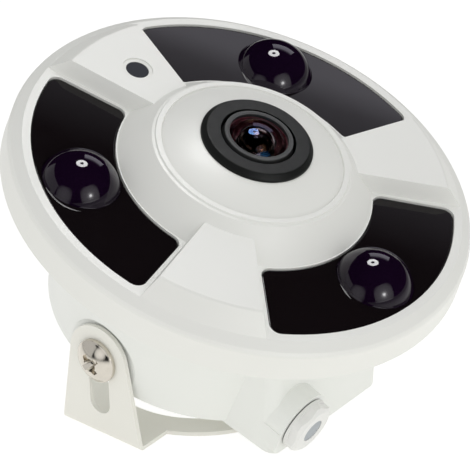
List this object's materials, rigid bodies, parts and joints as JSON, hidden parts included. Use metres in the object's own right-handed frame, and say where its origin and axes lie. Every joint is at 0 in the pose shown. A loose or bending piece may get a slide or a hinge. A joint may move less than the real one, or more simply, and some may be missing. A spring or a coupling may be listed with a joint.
{
  "type": "fisheye cctv camera",
  "caption": "Round ceiling camera with a central fisheye lens, dark infrared windows with lamp domes, a tilting head on a slotted sheet bracket and a blanked cable outlet.",
  "frame": {"origin": "centre of the four mounting holes, on the underside of the bracket's base ring", "axes": "+Z away from the mounting surface, Y along the tilt axis, +X towards the side of the cable outlet, to which the head leans at rest"},
  "size_m": [0.1431, 0.1508, 0.1094],
  "materials": {
    "bracket_paint": "satin",
    "housing_paint": "satin white paint",
    "cover_paint": "satin white paint",
    "seal_rubber": "matte",
    "window_acrylic": "gloss",
    "dome_acrylic": "gloss",
    "dark_acrylic": "gloss",
    "circuit_board": "satin",
    "lamp_ceramic": "satin",
    "board_parts": "satin",
    "ring_plastic": "satin",
    "barrel_black": "black anodised",
    "lens_glass": "polished",
    "holder_plastic": "matte",
    "spacer_brass": "turned",
    "small_screw_steel": "zinc plated",
    "tilt_screw_nickel": "nickel plated",
    "washer_nylon": "matte",
    "plug_plastic": "satin",
    "vent_grey": "matte"
  },
  "bodies": {
    "base": {"bracket": "bracket_paint"},
    "head": {"rear_housing": "housing_paint", "front_cover": "cover_paint", "cover_gasket": "seal_rubber", "window_1": "window_acrylic", "window_2": "window_acrylic", "window_3": "window_acrylic", "ir_lens_1": "dome_acrylic", "ir_lens_2": "dome_acrylic", "ir_lens_3": "dome_acrylic", "ir_board_1": "circuit_board", "ir_board_2": "circuit_board", "ir_board_3": "circuit_board", "ir_led_1": "lamp_ceramic", "ir_led_2": "lamp_ceramic", "ir_led_3": "lamp_ceramic", "sensor_window": "dark_acrylic", "light_sensor": "board_parts", "lens_ring": "ring_plastic", "lens_barrel": "barrel_black", "front_glass": "lens_glass", "rear_glass": "lens_glass", "lens_holder": "holder_plastic", "image_sensor": "board_parts", "sensor_board": "circuit_board", "main_board": "circuit_board", "board_spacer_1": "spacer_brass", "board_spacer_2": "spacer_brass", "board_spacer_3": "spacer_brass", "board_screw_1": "small_screw_steel", "board_screw_2": "small_screw_steel", "board_screw_3": "small_screw_steel", "cover_screw_1": "small_screw_steel", "cover_screw_2": "small_screw_steel", "cover_screw_3": "small_screw_steel", "friction_washer_1": "washer_nylon", "friction_washer_2": "washer_nylon"},
    "screw_left": {"tilt_screw_1": "tilt_screw_nickel"},
    "screw_right": {"tilt_screw_2": "tilt_screw_nickel"},
    "plug": {"outlet_plug": "plug_plastic", "plug_seal": "seal_rubber", "plug_vent": "vent_grey"}
  },
  "joints": [
    {"name": "tilt", "type": "hinge", "parent": "base", "child": "head", "pos_m": [0, 0, 0.0284], "axis": [0, 1, 0], "range_deg": [-43, 0]},
    {"name": "screw_left_turn", "type": "hinge", "parent": "head", "child": "screw_left", "pos_m": [0, -0.0497, 0.0284], "axis": [0, -1, 0], "range_deg": [0, 180]},
    {"name": "screw_right_turn", "type": "hinge", "parent": "head", "child": "screw_right", "pos_m": [0, 0.0497, 0.0284], "axis": [0, 1, 0], "range_deg": [0, 180]},
    {"name": "plug_turn", "type": "hinge", "parent": "head", "child": "plug", "pos_m": [0.05595, -0.0174, 0.01055], "axis": [0.9304, 0, -0.3665], "range_deg": [0, 180]}
  ]
}
